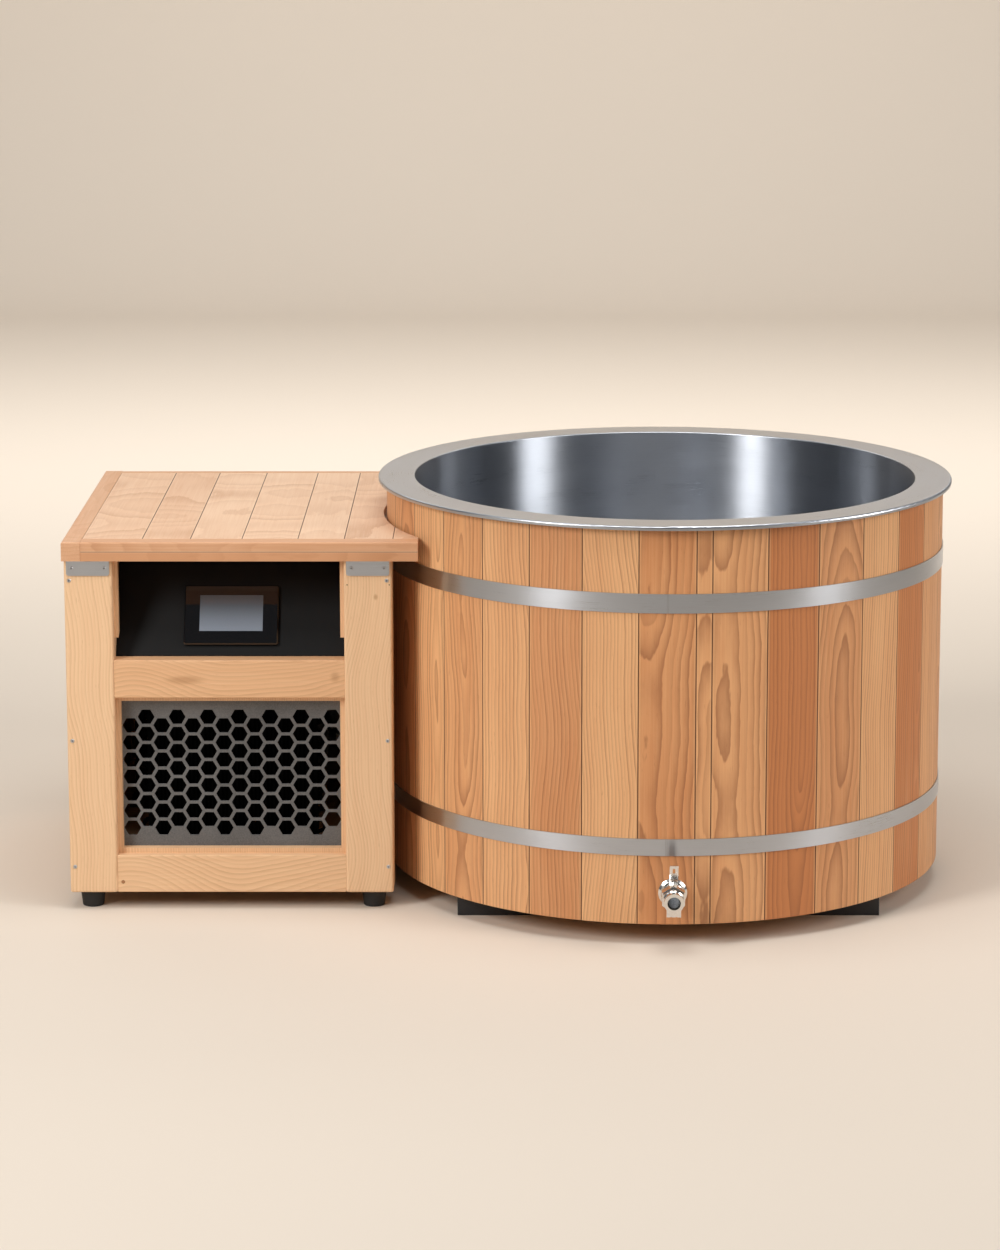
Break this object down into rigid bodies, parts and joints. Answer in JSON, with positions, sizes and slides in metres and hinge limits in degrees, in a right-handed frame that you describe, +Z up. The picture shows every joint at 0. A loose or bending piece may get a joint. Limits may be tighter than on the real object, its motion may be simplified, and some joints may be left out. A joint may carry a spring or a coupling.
{
  "type": "wooden plunge tub",
  "caption": "Round cedar stave plunge tub with a stainless liner, steel hoops and a drain valve, beside a cedar cabinet holding its water chiller.",
  "frame": {"origin": "on the floor under the middle of the tub, at the underside of the middle joist", "axes": "+Z up; +X from the cabinet to the tub, seen from the front; -Y the front, where the drain valve points"},
  "size_m": [2.102, 1.452, 0.978],
  "materials": {
    "cedar_staves": "oiled cedar, straight and cathedral grain",
    "cedar_frame": "pale planed cedar",
    "cedar_lid": "pale planed cedar planks",
    "cedar_boards": "planed cedar boards",
    "liner_steel": "brushed stainless",
    "hoop_steel": "satin stainless band",
    "valve_steel": "polished stainless",
    "plate_steel": "satin stainless",
    "joist_black": "black composite",
    "foam": "closed-cell foam",
    "grille_black": "textured powder coat",
    "console_black": "matte powder coat",
    "bezel_black": "gloss black",
    "screen": "display glass",
    "rubber": "black rubber",
    "fin_aluminium": "mill finish",
    "chiller_paint": "black enamel",
    "fan_plastic": "black moulded",
    "canister_plastic": "pale moulded",
    "pipe_plastic": "white pressure pipe"
  },
  "bodies": {
    "root": {"drain_stave": "cedar_staves", "closing_stave": "cedar_staves", "front_right_staves": "cedar_staves", "rear_right_staves": "cedar_staves", "rear_left_staves": "cedar_staves", "front_left_staves": "cedar_staves", "upper_hoop": "hoop_steel", "lower_hoop": "hoop_steel", "liner_wall": "liner_steel", "liner_floor": "liner_steel", "rim_flange": "liner_steel", "wall_insulation": "foam", "floor_boards": "cedar_boards", "front_joist": "joist_black", "middle_joist": "joist_black", "rear_joist": "joist_black", "wall_flange": "valve_steel", "drain_nipple": "valve_steel", "valve_body": "valve_steel", "outlet_end": "valve_steel", "front_left_post": "cedar_frame", "front_right_post": "cedar_frame", "rear_posts": "cedar_frame", "mid_rail": "cedar_frame", "front_bottom_rail": "cedar_frame", "left_rails": "cedar_frame", "right_rails": "cedar_frame", "rear_rails": "cedar_frame", "left_boards": "cedar_boards", "right_boards": "cedar_boards", "back_boards": "cedar_boards", "cabinet_floor": "cedar_boards", "grille_panel": "grille_black", "grille_beads": "cedar_frame", "reveal_strips": "cedar_frame", "console": "console_black", "screen_bezel": "bezel_black", "screen_glass": "screen", "lid_planks": "cedar_lid", "lid_edge_board": "cedar_lid", "lid_edging": "cedar_lid", "lid_battens": "cedar_boards", "corner_plates": "plate_steel", "cabinet_screws": "plate_steel", "rubber_feet": "rubber", "condenser": "fin_aluminium", "fan_shroud": "chiller_paint", "fan_motor": "chiller_paint", "compressor": "chiller_paint", "heat_exchanger": "canister_plastic", "filter_canister": "canister_plastic", "circulation_pump": "fan_plastic", "control_box": "chiller_paint", "supply_pipe": "pipe_plastic", "return_pipe": "pipe_plastic"},
    "drain_lever": {"valve_lever": "valve_steel", "valve_stem": "valve_steel", "valve_ball": "valve_steel", "lever_nut": "valve_steel"},
    "condenser_fan": {"fan_rotor": "fan_plastic"}
  },
  "joints": [
    {"name": "drain_lever_turn", "type": "hinge", "parent": "root", "child": "drain_lever", "pos_m": [0, -0.715, 0.126], "axis": [0, 0, 1], "range_deg": [0, 90]},
    {"name": "fan_spin", "type": "hinge", "parent": "root", "child": "condenser_fan", "pos_m": [-1.027, -0.2, 0.315], "axis": [0, 1, 0], "continuous": true}
  ]
}
